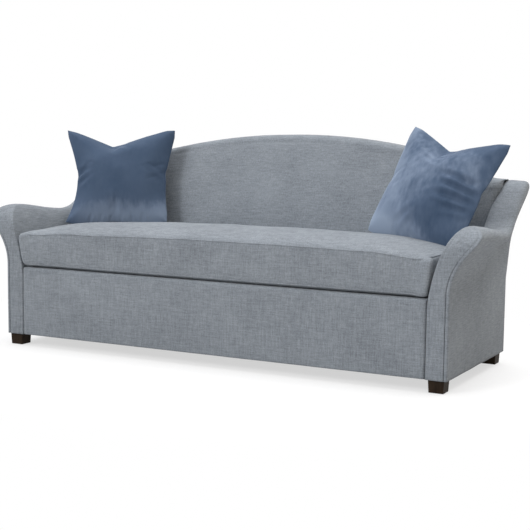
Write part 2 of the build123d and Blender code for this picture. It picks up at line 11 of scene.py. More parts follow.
import bpy
from mathutils import Matrix, Vector, noise
from mathutils.bvhtree import BVHTree


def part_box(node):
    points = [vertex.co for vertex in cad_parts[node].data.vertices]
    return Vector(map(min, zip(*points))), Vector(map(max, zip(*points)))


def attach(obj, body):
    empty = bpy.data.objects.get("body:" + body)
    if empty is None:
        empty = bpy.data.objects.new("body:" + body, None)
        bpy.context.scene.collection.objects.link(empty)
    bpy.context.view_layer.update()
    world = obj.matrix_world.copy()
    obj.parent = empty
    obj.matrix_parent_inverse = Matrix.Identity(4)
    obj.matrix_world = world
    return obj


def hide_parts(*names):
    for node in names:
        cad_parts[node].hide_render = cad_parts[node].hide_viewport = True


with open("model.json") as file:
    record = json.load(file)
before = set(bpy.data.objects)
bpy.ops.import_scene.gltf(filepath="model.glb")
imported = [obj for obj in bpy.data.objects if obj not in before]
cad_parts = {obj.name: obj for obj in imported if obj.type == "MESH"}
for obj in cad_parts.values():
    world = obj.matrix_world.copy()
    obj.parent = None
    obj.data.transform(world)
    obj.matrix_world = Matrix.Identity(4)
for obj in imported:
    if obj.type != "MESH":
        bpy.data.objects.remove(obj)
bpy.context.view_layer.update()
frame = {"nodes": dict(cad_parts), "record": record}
nodes = frame["nodes"]

# %% [markdown]
# ## Camera
# The photograph is taken from the right of the sofa, at about the height of its back, with a long lens. The
# camera is turned about the upright axis, tipped down, and rolled by less than a degree.

# %% Camera
camera_place = (2.328, -4.382, 0.926)
camera_turn, camera_tip, camera_roll = radians(27.658), radians(6.434), radians(0.676)
lens_length, sensor_width = 79.5, 36
bpy.ops.object.camera_add(location=camera_place)
camera = bpy.context.object
camera.name = "photo_camera"
turned = Matrix.Rotation(camera_turn, 3, "Z") @ Matrix.Rotation(pi / 2 - camera_tip, 3, "X")
camera.rotation_euler = (turned @ Matrix.Rotation(camera_roll, 3, "Z")).to_euler()
camera.data.sensor_width = sensor_width
camera.data.lens = lens_length
bpy.context.scene.camera = camera

# %% [markdown]
# ## Floor and light
# The picture has a white ground with a soft, pale shadow under the sofa. A floor that is partly lit and
# partly plain white for the camera gives both. The world gives most of the light. A broad sun overhead
# brightens the tops, and a weaker one in front shapes the arms and the pillows.


# %% Helpers for materials
def set_inputs(node, **values):
    """Set a node's sockets by name."""
    for key, value in values.items():
        node.inputs[key.replace("_", " ")].default_value = value


def add_node(tree, kind, **values):
    """Add a shader node and set its sockets and properties by name."""
    node = tree.nodes.new(kind)
    for key, value in values.items():
        if hasattr(node, key):
            setattr(node, key, value)
        else:
            set_inputs(node, **{key: value})
    return node


def new_material(name):
    """An empty node material with its Principled shader."""
    material = bpy.data.materials.new(name)
    material.use_nodes = True
    tree = material.node_tree
    shader = tree.nodes["Principled BSDF"]
    return material, tree, shader


def combine(tree, operation, *values):
    """A chain of math nodes over outputs or numbers, from left to right."""
    total = values[0]
    for value in values[1:]:
        node = add_node(tree, "ShaderNodeMath", operation=operation)
        for socket, part in zip(node.inputs, (total, value)):
            if isinstance(part, (int, float)):
                socket.default_value = part
            else:
                tree.links.new(part, socket)
        total = node.outputs[0]
    return total


def plus(tree, *values):
    """The sum of outputs or numbers."""
    return combine(tree, "ADD", *values)


def times(tree, *values):
    """The product of outputs or numbers."""
    return combine(tree, "MULTIPLY", *values)


def eased(tree, value, start, end, low, high):
    """A smooth step from one number to another while a value goes from its start to its end."""
    step = add_node(tree, "ShaderNodeMapRange", interpolation_type="SMOOTHSTEP")
    for socket, number in zip(("From Min", "From Max", "To Min", "To Max"), (start, end, low, high)):
        step.inputs[socket].default_value = number
    tree.links.new(value, step.inputs["Value"])
    return step.outputs[0]


def mix_shaders(tree, factor, first, second):
    """A mix of two shaders by a factor."""
    node = add_node(tree, "ShaderNodeMixShader")
    for socket, output in zip(node.inputs, (factor, first, second)):
        tree.links.new(output, socket)
    return node.outputs[0]


def add_bump(tree, shader, height, strength, distance):
    """Fine relief on a material, from a height."""
    bump = add_node(tree, "ShaderNodeBump", Strength=strength, Distance=distance)
    tree.links.new(height, bump.inputs["Height"])
    tree.links.new(bump.outputs[0], shader.inputs["Normal"])


def seen_directly(tree):
    """One for rays that show the ground, straight or in a reflection, and nothing for lighting rays."""
    rays = add_node(tree, "ShaderNodeLightPath")
    kinds = ("Is Camera Ray", "Is Glossy Ray", "Is Transmission Ray")
    return combine(tree, "MAXIMUM", *(rays.outputs[kind] for kind in kinds))


def wear(piece, material):
    """Give a piece or a CAD node one material."""
    piece.data.materials.clear()
    piece.data.materials.append(material)


# %% Floor
shadow_reach = (2.05, 1.5)
shadow_core = 0.45
shadow_paleness = 0.62
floor_width = 60
floor_white, floor_tree, floor_lit = new_material("floor_white")
set_inputs(floor_lit, Base_Color=(0.56, 0.55, 0.54, 1), Roughness=0.9, Specular_IOR_Level=0.1)
floor_seen = add_node(floor_tree, "ShaderNodeBsdfDiffuse", Color=(0.95, 0.95, 0.96, 1))
glow = add_node(floor_tree, "ShaderNodeEmission", Color=(1, 1, 1, 1), Strength=1.0)
floor_place = add_node(floor_tree, "ShaderNodeTexCoord").outputs["Object"]
floor_reach = add_node(floor_tree, "ShaderNodeVectorMath", operation="MULTIPLY")
floor_reach.inputs[1].default_value = (1 / shadow_reach[0], 1 / shadow_reach[1], 0)
floor_far = add_node(floor_tree, "ShaderNodeVectorMath", operation="LENGTH")
floor_tree.links.new(floor_place, floor_reach.inputs[0])
floor_tree.links.new(floor_reach.outputs[0], floor_far.inputs[0])
fade = eased(floor_tree, floor_far.outputs["Value"], shadow_core, 1, shadow_paleness, 1)
floor_sight = seen_directly(floor_tree)
floor_solid = mix_shaders(floor_tree, floor_sight, floor_lit.outputs[0], floor_seen.outputs[0])
share_plain = times(floor_tree, floor_sight, fade)
floor_look = mix_shaders(floor_tree, share_plain, floor_solid, glow.outputs[0])
floor_tree.links.new(floor_look, floor_tree.nodes["Material Output"].inputs["Surface"])
bpy.ops.mesh.primitive_plane_add(size=floor_width, location=(0, 0, 0))
floor = bpy.context.object
floor.name = "floor"
wear(floor, floor_white)

# %% World and lamps
fill_strength = 0.67
fill_left, fill_right = (0.98, 0.99, 1, 1), (0.74, 0.67, 0.56, 1)
first_colour, second_colour, mixed_colour = 6, 7, 2
world = bpy.data.worlds.new("studio") if not bpy.context.scene.world else bpy.context.scene.world
bpy.context.scene.world = world
world.use_nodes = True
sky = world.node_tree
for node in list(sky.nodes):
    sky.nodes.remove(node)
seen = add_node(sky, "ShaderNodeBackground", Color=(1, 1, 1, 1), Strength=1.0)
fill = add_node(sky, "ShaderNodeBackground", Strength=fill_strength)
bearing = add_node(sky, "ShaderNodeSeparateXYZ")
tint = add_node(sky, "ShaderNodeMix", data_type="RGBA")
tint.inputs[first_colour].default_value = fill_left
tint.inputs[second_colour].default_value = fill_right
sky.links.new(add_node(sky, "ShaderNodeTexCoord").outputs["Generated"], bearing.inputs[0])
sky.links.new(eased(sky, bearing.outputs["X"], -0.2, 0.9, 0, 1), tint.inputs[0])
sky.links.new(tint.outputs[mixed_colour], fill.inputs["Color"])
sky_look = mix_shaders(sky, seen_directly(sky), fill.outputs[0], seen.outputs[0])
sky.links.new(sky_look, add_node(sky, "ShaderNodeOutputWorld").inputs["Surface"])


def add_sun(name, turn, height, strength, softness):
    """A broad sun from a compass turn (0 is the front, positive is the right) and a height, in degrees."""
    bpy.ops.object.light_add(type="SUN", location=(0, 0, 4))
    lamp = bpy.context.object
    lamp.name = name
    lamp.data.energy = strength
    lamp.data.angle = radians(softness)
    swung = Matrix.Rotation(radians(turn), 3, "Z") @ Matrix.Rotation(radians(90 - height), 3, "X")
    lamp.rotation_euler = swung.to_euler()


add_sun("overhead_sun", 165, 76, 2.3, 50)
add_sun("front_sun", -28, 32, 1.12, 20)
bpy.context.scene.view_settings.view_transform = "Standard"

# %% [markdown]
# ## Cloths and timber
# The linen is woven from slubby blue-grey yarns, so its colour is never even: short dark and light streaks
# run both ways, and the surface has a fine ribbed weave. The velvet is dark where the pile faces the eye,
# with brushed patches and a painted sheen highlight that makes its colour paler low down. Each is built from
# noise stretched along the yarns.


# %% Linen
def stretched_noise(tree, source, stretch, detail=2.0):
    """Noise squeezed along one way, as for yarns."""
    mapping = add_node(tree, "ShaderNodeMapping")
    mapping.inputs["Scale"].default_value = stretch
    tree.links.new(source, mapping.inputs["Vector"])
    texture = add_node(tree, "ShaderNodeTexNoise", Scale=1.0, Detail=detail, Roughness=0.6)
    tree.links.new(mapping.outputs[0], texture.inputs["Vector"])
    return texture.outputs["Fac"]


def colour_ramp(tree, source, stops):
    """A colour ramp from a factor."""
    ramp = add_node(tree, "ShaderNodeValToRGB")
    while len(ramp.color_ramp.elements) < len(stops):
        ramp.color_ramp.elements.new(0.5)
    for element, (place, colour) in zip(ramp.color_ramp.elements, stops):
        element.position = place
        element.color = (*colour, 1)
    tree.links.new(source, ramp.inputs["Fac"])
    return ramp.outputs["Color"]


def woven(name, dark, pale, depth=0.25):
    """A plain-woven cloth with uneven yarns."""
    yarn_share, cloud_share = 0.27, 0.19
    material, tree, shader = new_material(name)
    place = add_node(tree, "ShaderNodeTexCoord").outputs["Object"]
    upright = stretched_noise(tree, place, (260, 260, 22))
    level = stretched_noise(tree, place, (24, 24, 280))
    across = stretched_noise(tree, place, (240, 22, 240))
    cloud = stretched_noise(tree, place, (5, 5, 5), 4.0)
    yarns = plus(tree, upright, level, across)
    mixed = plus(tree, times(tree, yarns, yarn_share), times(tree, cloud, cloud_share))
    tree.links.new(colour_ramp(tree, mixed, ((0.36, dark), (0.64, pale))), shader.inputs["Base Color"])
    fine = stretched_noise(tree, place, (900, 900, 900), 1.0)
    add_bump(tree, shader, plus(tree, yarns, fine), depth, 0.0012)
    set_inputs(shader, Roughness=0.92, Specular_IOR_Level=0.15, Sheen_Weight=0.12, Sheen_Roughness=0.5)
    return material


linen = woven("grey_blue_linen", (0.145, 0.162, 0.187), (0.300, 0.332, 0.371))
lining = woven("deck_lining", (0.20, 0.19, 0.175), (0.36, 0.34, 0.31))
cambric = woven("black_cambric", (0.012, 0.012, 0.013), (0.05, 0.05, 0.055))
webbing_cloth = woven("jute_webbing", (0.22, 0.15, 0.08), (0.45, 0.34, 0.2))
foam = woven("foam_and_wadding", (0.62, 0.58, 0.46), (0.82, 0.79, 0.68), 0.4)
tape_cloth = woven("zip_tape_cloth", (0.1, 0.12, 0.14), (0.2, 0.23, 0.26))


# %% Velvet
def velvet_material():
    """Short pile: deep blue, with a painted sheen highlight low down on the left pillow and towards the
    middle on the right one, which is also patchier.
    """
    material, tree, shader = new_material("blue_velvet")
    place = add_node(tree, "ShaderNodeTexCoord").outputs["Object"]
    brushed = stretched_noise(tree, place, (6, 6, 4.5), 3.0)
    streaks = stretched_noise(tree, place, (55, 55, 20), 2.0)
    pile = stretched_noise(tree, place, (1400, 1400, 1400), 0.0)
    parted = add_node(tree, "ShaderNodeSeparateXYZ")
    tree.links.new(place, parted.inputs[0])
    across, height = parted.outputs["X"], parted.outputs["Z"]
    right = eased(tree, across, -0.2, 0.2, 0.3, 1)
    height = plus(tree, height, times(tree, streaks, 0.06), times(tree, brushed, 0.12))
    # Painted sheen highlight: the colour is made paler low down, most on the left pillow, where the pile
    # turns away from the eye.
    from_left = eased(tree, across, -1.0, -0.74, 0.1, 1)
    to_right = eased(tree, across, 0.2, 0.95, 0.7, 0.1)
    painted_sheen_low = times(tree, eased(tree, height, 0.645, 0.76, 0.62, 0), from_left, to_right)
    # Painted sheen highlight on the right pillow: its colour is made paler on the side towards the middle of
    # the sofa.
    right_only = eased(tree, across, 0.1, 0.2, 0, 1)
    painted_sheen_middle = times(tree, eased(tree, across, 0.52, 0.98, 0.36, 0), right_only)
    patches = times(tree, plus(tree, brushed, -0.5), 1.1)
    threads = times(tree, plus(tree, streaks, -0.5), 0.25)
    uneven = times(tree, plus(tree, patches, threads), right)
    mixed = plus(tree, uneven, 0.27, plus(tree, painted_sheen_low, painted_sheen_middle))
    # The two pale stops are reached mostly where the painted sheen highlight is added.
    stops = (
        (0.15, (0.042, 0.070, 0.122)),
        (0.4, (0.078, 0.114, 0.182)),
        (0.62, (0.17, 0.22, 0.31)),
        (0.85, (0.25, 0.31, 0.41)),
    )
    tree.links.new(colour_ramp(tree, mixed, stops), shader.inputs["Base Color"])
    add_bump(tree, shader, pile, 0.15, 0.0008)
    set_inputs(shader, Roughness=0.7, Specular_IOR_Level=0.1, Sheen_Weight=0.6, Sheen_Roughness=0.25)
    set_inputs(shader, Sheen_Tint=(0.66, 0.76, 0.92, 1))
    return material


velvet = velvet_material()


# %% Timber, metal and plastic
def grained(name, dark, pale, roughness, coat=0.0, shine=0.5):
    """Wood with long grain along Z."""
    material, tree, shader = new_material(name)
    place = add_node(tree, "ShaderNodeTexCoord").outputs["Object"]
    grain = stretched_noise(tree, place, (90, 90, 9), 5.0)
    pores = stretched_noise(tree, place, (700, 700, 40), 1.0)
    mixed = plus(tree, times(tree, grain, 0.75), times(tree, pores, 0.25))
    tree.links.new(colour_ramp(tree, mixed, ((0.35, dark), (0.65, pale))), shader.inputs["Base Color"])
    add_bump(tree, shader, pores, 0.2, 0.0005)
    set_inputs(shader, Roughness=roughness, Specular_IOR_Level=shine, Coat_Weight=coat)
    return material


def brushed(name, colour, roughness, metallic):
    """Metal or plastic with faint wear."""
    material, tree, shader = new_material(name)
    place = add_node(tree, "ShaderNodeTexCoord").outputs["Object"]
    scuffs = stretched_noise(tree, place, (220, 220, 220), 3.0)
    darker = tuple(0.75 * part for part in colour)
    tree.links.new(colour_ramp(tree, scuffs, ((0.3, darker), (0.7, colour))), shader.inputs["Base Color"])
    set_inputs(shader, Roughness=roughness, Metallic=metallic)
    return material


frame_wood = grained("frame_timber", (0.36, 0.23, 0.12), (0.62, 0.45, 0.28), 0.7)
foot_wood = grained("espresso_wood", (0.012, 0.008, 0.005), (0.034, 0.022, 0.014), 0.55, 0, 0.08)
spring_steel = brushed("spring_steel", (0.4, 0.4, 0.42), 0.4, 1.0)
zip_metal = brushed("zip_metal", (0.5, 0.5, 0.5), 0.3, 1.0)
glide_plastic = brushed("glide_plastic", (0.03, 0.03, 0.03), 0.5, 0.0)

finish = {
    "linen": linen,
    "velvet": velvet,
    "lining": lining,
    "dust_cloth": cambric,
    "foam": foam,
    "wadding": foam,
    "filling": foam,
    "webbing": webbing_cloth,
    "timber": frame_wood,
    "foot_wood": foot_wood,
    "spring_steel": spring_steel,
    "bolt_steel": spring_steel,
    "glide": glide_plastic,
    "zip_tape": tape_cloth,
    "zip_metal": zip_metal,
}
for part in frame["record"]["subparts"]:
    wear(nodes[part["node"]], finish[part["material_slot"]])
print("finishes", len(finish))

# %% [markdown]
# ## Sizes that the cloth follows
# The upholsterer pulls linen over a padded form. The form's own sizes are repeated here: the arm's section
# leans outwards and ends in a rounded tip, its crest dips behind the front and sweeps up to the back, and
# the back is raked with a camel-shaped top.

# %% Sizes
front_y = -0.439
rear_y = 0.268
side_x = 1.0
hem_z = 0.0485
deck_z = 0.341
arm_thickness = 0.084
arm_height = 0.611
arm_rear_height = 0.738
arm_flare = 0.107
arm_rear_flare = 0.052
flare_start = 0.355
flare_rear_start = 0.48
flare_rise = 0.115
tip_rise = 0.04
crest_setback = 0.065
crest_rear_setback = 0.026
tip_drop = 0.031
tip_rear_drop = 0.018
crest_run = 0.055
crest_rear_run = 0.1
lean_start = 0.3
lean_run = 0.1
lean_rear_run = 0.35
shoulder_lift = 0.15
round_share = 0.55
roll_start = 0.48
roll_depth = 0.115
roll_top = 0.6035
arm_reach = 0.924
arm_crest_shares = (0, -0.04, -0.08, -0.15, -0.24, -0.31, -0.32, -0.16, 0.24, 0.61, 0.89, 1, 1.02)
arm_flare_shares = (0, 0.06, 0.12, 0.17, 0.24, 0.36, 0.50, 0.64, 0.77, 0.88, 0.96, 1, 1)
arm_depth_shares = [row / 12 for row in range(13)]
rake_start = 0.35
rake = 0.31
back_height = 0.921
back_half = 0.95
inside_back_y = 0.165
inside_back_rise = 0.5
back_top_thickness = 0.098
curve_cuts = 24


# %% Helpers for shapes
def clamp(value):
    """A value held between nought and one."""
    return min(1, max(0, value))


def fading(distance):
    """One at nought, and less the greater the distance."""
    return 2.718**-distance


def bell(place):
    """A soft hump: one at nought, fading to both sides."""
    return fading(place**2)


def between(shares, values, share):
    """A smooth reading between the rows of a table."""
    last = len(shares) - 1
    row = max(i for i in range(last) if shares[i] <= share or i == 0)
    span = shares[row + 1] - shares[row]
    t = clamp((share - shares[row]) / span)
    before = values[max(row - 1, 0)]
    after = values[min(row + 2, last)]
    low, high = values[row], values[row + 1]
    slope_low = (high - before) * span / (shares[row + 1] - shares[max(row - 1, 0)])
    slope_high = (after - low) * span / (shares[min(row + 2, last)] - shares[row])
    square, cube = t * t, t * t * t
    return (
        (2 * cube - 3 * square + 1) * low
        + (cube - 2 * square + t) * slope_low
        + (3 * square - 2 * cube) * high
        + (cube - square) * slope_high
    )


def rear_line(z):
    """Depth of the rear surface at a height."""
    return rear_y + max(0, z - rake_start) * rake


def bezier(points, t):
    """A point on a cubic curve through four control points."""
    a, b, c, d = (Vector(point) for point in points)
    s = 1 - t
    return s**3 * a + 3 * s * s * t * b + 3 * s * t * t * c + t**3 * d


def quarter_turn(steps, first=1):
    """The angles of a quarter turn in so many steps."""
    return [i / steps * pi / 2 for i in range(first, steps + 1)]


def spread(points, count):
    """The same line as so many points, evenly apart."""
    lengths = [0.0]
    for a, b in zip(points, points[1:]):
        lengths.append(lengths[-1] + (b - a).length)
    even, row = [], 0
    for i in range(count):
        goal = lengths[-1] * i / (count - 1)
        while row < len(points) - 2 and lengths[row + 1] < goal:
            row += 1
        part = (goal - lengths[row]) / max(lengths[row + 1] - lengths[row], 1e-9)
        even.append(points[row].lerp(points[row + 1], part))
    return even


def arm_section(share):
    """The arm's section at a share of its depth: from inside, over the crest, to the outer hem."""
    rise = between(arm_depth_shares, arm_crest_shares, share)
    flare_share = between(arm_depth_shares, arm_flare_shares, share)
    crest_z = arm_height + rise * (arm_rear_height - arm_height)
    reach = side_x + arm_flare + flare_share * (arm_rear_flare - arm_flare)
    flare_z = flare_start + flare_share * (flare_rear_start - flare_start)
    run = crest_run + flare_share * (crest_rear_run - crest_run)
    lean = lean_run + flare_share * (lean_rear_run - lean_run) + max(0, rise) * shoulder_lift
    inner_x = side_x - arm_thickness
    tip = (reach, crest_z - tip_drop - flare_share * (tip_rear_drop - tip_drop))
    crest = (reach - crest_setback - flare_share * (crest_rear_setback - crest_setback), crest_z)
    round_z = tip[1] + round_share * (crest_z - tip[1])
    round_x = crest[0] + round_share * (reach - crest[0])
    inner = [crest, (crest[0] - run, crest_z), (inner_x, lean_start + lean), (inner_x, lean_start)]
    over = [crest, (round_x, crest_z), (reach, round_z), tip]
    outer = [tip, (reach, tip[1] - tip_rise), (side_x, flare_z + flare_rise), (side_x, flare_z)]
    steps = [i / curve_cuts for i in range(curve_cuts + 1)]
    line = [Vector((inner_x, hem_z)), *[bezier(inner, 1 - t) for t in steps]]
    line += [bezier(over, t) for t in steps[1:]]
    line += [bezier(outer, t) for t in steps[1:]]
    return [*line, Vector((side_x, hem_z))]


def cloth_grid(name, columns, rows, place):
    """A grid whose points are laid on a form: place(u, v) gives each one."""
    bpy.ops.object.select_all(action="DESELECT")
    bpy.ops.mesh.primitive_grid_add(x_subdivisions=columns, y_subdivisions=rows, size=2, location=(0, 0, 0))
    piece = bpy.context.object
    piece.name = name
    for vertex in piece.data.vertices:
        vertex.co = place((vertex.co.x + 1) / 2, (vertex.co.y + 1) / 2)
    return piece


def select_only(piece):
    """Select one piece and make it the active one."""
    bpy.ops.object.select_all(action="DESELECT")
    piece.select_set(True)
    bpy.context.view_layer.objects.active = piece


def merge_close(piece, distance):
    """Join the points of a piece that lie closer than a distance."""
    select_only(piece)
    bpy.ops.object.mode_set(mode="EDIT")
    bpy.ops.mesh.select_all(action="SELECT")
    bpy.ops.mesh.remove_doubles(threshold=distance)
    bpy.ops.object.mode_set(mode="OBJECT")


def face_towards(piece, outward):
    """Turn a sheet's faces so that most of them look along outward(centre)."""
    total = sum(face.normal.dot(outward(face.center)) * face.area for face in piece.data.polygons)
    if total < 0:
        bpy.context.view_layer.objects.active = piece
        bpy.ops.object.mode_set(mode="EDIT")
        bpy.ops.mesh.select_all(action="SELECT")
        bpy.ops.mesh.flip_normals()
        bpy.ops.object.mode_set(mode="OBJECT")


def apply_modifier(piece, kind, **values):
    """Add a modifier with its values and apply it."""
    select_only(piece)
    modifier = piece.modifiers.new(kind.lower(), kind)
    for key, value in values.items():
        setattr(modifier, key, value)
    bpy.ops.object.modifier_apply(modifier=modifier.name)


def finish_piece(piece, material, slot, body="frame"):
    """Smooth shading, material and body for a finished piece; the slot is not used."""
    select_only(piece)
    bpy.ops.object.shade_smooth()
    wear(piece, material)
    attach(piece, body)
    return piece


def welt(name, points, radius):
    """A sewn cord round a closed seam, as a mesh tube."""
    data = bpy.data.curves.new(name, "CURVE")
    data.dimensions = "3D"
    data.bevel_depth = radius
    data.bevel_resolution = 3
    spline = data.splines.new("POLY")
    spline.points.add(len(points) - 1)
    for slot_point, point in zip(spline.points, points):
        slot_point.co = (*point, 1)
    spline.use_cyclic_u = True
    tube = bpy.data.objects.new(name, data)
    bpy.context.scene.collection.objects.link(tube)
    select_only(tube)
    bpy.ops.object.convert(target="MESH")
    return bpy.context.object


def soft(point, size, amount, seed=0.0):
    """Gentle unevenness of a padded surface at a point."""
    return noise.noise(Vector(point) / size + Vector((seed, seed, seed))) * amount


# %% [markdown]
# ## Arms
# Each arm is one length of linen pulled from the seat, over the crest and down the outside, with a stuffed
# panel sewn into the front. The panel rolls back at the top. The sleeve turns the front corner with a small
# radius, and its seam lies a finger's width inside the outer corner. A grid laid on the form gives clean
# rows for both.

# %% Arm skin
tip_pull, tip_sag = 0.005, 0.012
tip_start, tip_width, tip_run = 0.02, 0.087, 0.42
roll_cuts = 160
edge_tries, depth_tries = 24, 4
sleeve_columns, sleeve_rows, table_rows = 150, 104, 130
section_table = [spread(arm_section(row / table_rows), sleeve_columns + 1) for row in range(table_rows + 1)]
roll_turn = roll_start + round_share * (roll_top - roll_start)
roll_over = (roll_depth * (1 - round_share), roll_top)
roll_points = [(0, roll_start), (0, roll_turn), roll_over, (roll_depth, roll_top)]
roll_curve = [bezier(roll_points, i / roll_cuts) for i in range(roll_cuts + 1)]
roll_arc = [roll_start]
for low, high in zip(roll_curve, roll_curve[1:]):
    roll_arc.append(roll_arc[-1] + (high - low).length)
section_length = sum((b - a).length for a, b in zip(section_table[0], section_table[0][1:]))
print("arm section", round(section_length, 3), "m round")


def skin_point(column, y):
    """A point on the arm's skin in a column of the sleeve, at a depth."""
    place = min(table_rows - 1e-6, max(0, (y - front_y) / arm_reach * table_rows))
    row = int(place)
    point = section_table[row][column].lerp(section_table[row + 1][column], place - row)
    ahead = clamp(1 - (y - front_y) / tip_run)
    tip = max(0, point.x - side_x - tip_start) / tip_width
    droop = min(1, tip) ** 2 * ahead
    return Vector((point.x - tip_pull * droop, y, point.y - tip_sag * droop))


def climb(z):
    """The way up the panel from the floor to a height, measured along its rolled face."""
    if z <= roll_start:
        return z
    for i, (low, high) in enumerate(zip(roll_curve, roll_curve[1:])):
        if high.y >= z:
            return roll_arc[i] + (roll_arc[i + 1] - roll_arc[i]) * (z - low.y) / max(high.y - low.y, 1e-9)
    return roll_arc[-1]


def panel_face(x, way):
    """A point on the panel's face and the way it faces, from its place across and its way up."""
    if way <= roll_start:
        return Vector((x, front_y, way)), Vector((0, -1, 0))
    row = max(i for i in range(roll_cuts) if roll_arc[i] <= way)
    low, high = roll_curve[row], roll_curve[row + 1]
    part = (way - roll_arc[row]) / (roll_arc[row + 1] - roll_arc[row])
    place = low.lerp(high, part)
    return Vector((x, front_y + place.x, place.y)), Vector((0, low.y - high.y, high.x - low.x)).normalized()


def front_edge():
    """The arm's front edge in each column: its point, its place on the panel and its sharpness."""
    points, ways, sharp = [], [], []
    for i in range(sleeve_columns + 1):
        y = front_y
        for _ in range(edge_tries):
            depth = panel_face(0, climb(skin_point(i, y).z))[0].y
            y = (y + depth) / 2
        points.append(skin_point(i, y))
        ways.append(Vector((points[-1].x, climb(points[-1].z))))
    for i, point in enumerate(points):
        along = points[min(i + 1, sleeve_columns)] - points[max(i - 1, 0)]
        outward = along.cross(skin_point(i, point.y + 0.01) - point).normalized()
        facing = panel_face(point.x, ways[i].y)[1]
        sharp.append((1 - min(1, facing.dot(outward)) ** 2) ** 0.5)
    return points, ways, sharp


edge_points, edge_ways, edge_sharp = front_edge()

# %% Arm sleeves
corner_roll = 0.006
seam_border = 0.007
groove = 0.0032
groove_top, groove_fade = 0.56, 0.16
corner_steps = 6
rear_lift = 0.008
arm_core_x, arm_core_z = 0.965, 0.35


def seam_line(inset):
    """The panel's outline as places on its face, drawn in by the corner and a distance."""
    line = []
    for i, way in enumerate(edge_ways):
        along = edge_ways[min(i + 1, sleeve_columns)] - edge_ways[max(i - 1, 0)]
        inward = Vector((along.y, -along.x)).normalized()
        line.append(way + inward * (corner_roll * edge_sharp[i] + inset))
    return line


def groove_depth(column, z):
    """How deep the seam is sunk: only along the outer edge, and fading towards the tip."""
    outside = column > sleeve_columns * 0.55
    return groove * clamp((groove_top - z) / groove_fade) if outside else 0


def sleeve_surface(side):
    """All the points of one sleeve, as rows from the front seam to the rear edge."""
    rows = []
    borders = (seam_border, seam_border - 0.0018, seam_border * 0.4, 0)
    for j, border in enumerate(borders):
        row = []
        for i, way in enumerate(seam_line(border)):
            point, facing = panel_face(way.x, min(way.y, roll_arc[-1]))
            row.append(point - facing * groove_depth(i, point.z) if j == 0 else point)
        rows.append(row)
    for angle in quarter_turn(corner_steps):
        row = []
        for i, point in enumerate(edge_points):
            roll = corner_roll * edge_sharp[i]
            on_face = rows[len(borders) - 1][i]
            on_skin = skin_point(i, point.y + roll)
            row.append(point + (on_face - point) * (1 - sin(angle)) + (on_skin - point) * (1 - cos(angle)))
        rows.append(row)
    starts = [point.y for point in rows[-1]]
    depth_rows = sleeve_rows + 1 - len(rows)
    for j in range(1, depth_rows + 1):
        along = j / depth_rows
        row = []
        for i, start in enumerate(starts):
            y = start
            for _ in range(depth_tries):
                y = start + along * (rear_line(skin_point(i, y).z) - 0.001 - start)
            row.append(skin_point(i, y))
        rows.append(row)
    return [[Vector((side * point.x, point.y, point.z)) for point in row] for row in rows]


def arm_sleeve(side, hand):
    """The linen over one arm, with the soft unevenness of padding under it."""
    rows = sleeve_surface(side)
    last = len(rows) - 1

    def place(u, v):
        return rows[round(v * last)][round(u * sleeve_columns)]

    piece = cloth_grid(f"{hand}_arm_sleeve", sleeve_columns, last, place)
    face_towards(piece, lambda centre: centre - Vector((side * arm_core_x, centre.y, arm_core_z)))
    for vertex in piece.data.vertices:
        away = Vector((side * arm_core_x, vertex.co.y, arm_core_z))
        normal = (vertex.co - away).normalized()
        inside = clamp((vertex.co.y - front_y - roll_depth) / 0.06)
        vertex.co += normal * soft(vertex.co, 0.09, 0.0016, side) * inside
        near_back = clamp((vertex.co.y - 0.27) / 0.1)
        vertex.co.z += rear_lift * near_back * clamp((vertex.co.z - 0.6) / 0.1)
    apply_modifier(piece, "SOLIDIFY", thickness=0.003, offset=-1)
    finish_piece(piece, linen, "linen")
    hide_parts(f"{hand}_arm_cover", f"{hand}_arm_pad")
    return piece


for side, hand in ((1, "right"), (-1, "left")):
    arm_sleeve(side, hand)
print("arm sleeves made")

# %% Arm front panels
creases = (((1.022, 0.549), (1.07, 0.531), 0.0024), ((1.04, 0.576), (1.072, 0.563), 0.002))
crease_width, ridge_place, ridge_width = 0.0035, 0.008, 0.005
panel_columns, panel_rows = 30, 90


def pulled(x, z):
    """The depth of the small creases where the linen is pulled round the arm's tip."""
    depth = 0
    for (x0, z0), (x1, z1), deep in creases:
        start, end, point = Vector((x0, z0)), Vector((x1, z1)), Vector((x, z))
        share = clamp((point - start).dot(end - start) / (end - start).length_squared)
        off = (point - start.lerp(end, share)).length
        depth += deep * (bell(off / crease_width) - 0.5 * bell((off - ridge_place) / ridge_width))
    return depth


def arm_panel(side, hand):
    """The linen panel on the arm's front, which rolls back over the top."""
    outline = seam_line(seam_border)
    peak = max(range(len(outline)), key=lambda i: outline[i].x + outline[i].y)
    inner = spread(outline[: peak + 1], panel_rows + 1)
    outer = spread(list(reversed(outline[peak:])), panel_rows + 1)

    def place(u, v):
        a, b = inner[round(v * panel_rows)], outer[round(v * panel_rows)]
        way = a.lerp(b, u)
        point, facing = panel_face(way.x, min(way.y, roll_arc[-1]))
        off = (1 - u) * (b - a).length
        sunk = groove_depth(sleeve_columns, point.z) * max(0, 1 - off / 0.003) ** 2
        edge = min(1, min(u, 1 - u) * (b - a).length / 0.01)
        raised = 0.0012 * edge + soft((point.x, point.z, side), 0.05, 0.0012) * edge
        point += facing * (raised - sunk - pulled(point.x, point.z) * edge)
        return Vector((side * point.x, point.y, point.z))

    piece = cloth_grid(f"{hand}_arm_panel", panel_columns, panel_rows, place)
    merge_close(piece, 0.0002)
    face_towards(piece, lambda centre: Vector((0, -1, 0)))
    apply_modifier(piece, "SOLIDIFY", thickness=0.003, offset=-1)
    finish_piece(piece, linen, "linen")
    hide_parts(f"{hand}_arm_facing")
    return piece


for side, hand in ((1, "right"), (-1, "left")):
    arm_panel(side, hand)
print("arm panels made")

# %% [markdown]
# ## Inside back
# The back has no loose cushions. Its linen runs from the seat up a gently crowned face, rolls over the
# camel-shaped top and is tacked at the rear edge. A grid follows that profile at each place across the
# sofa.

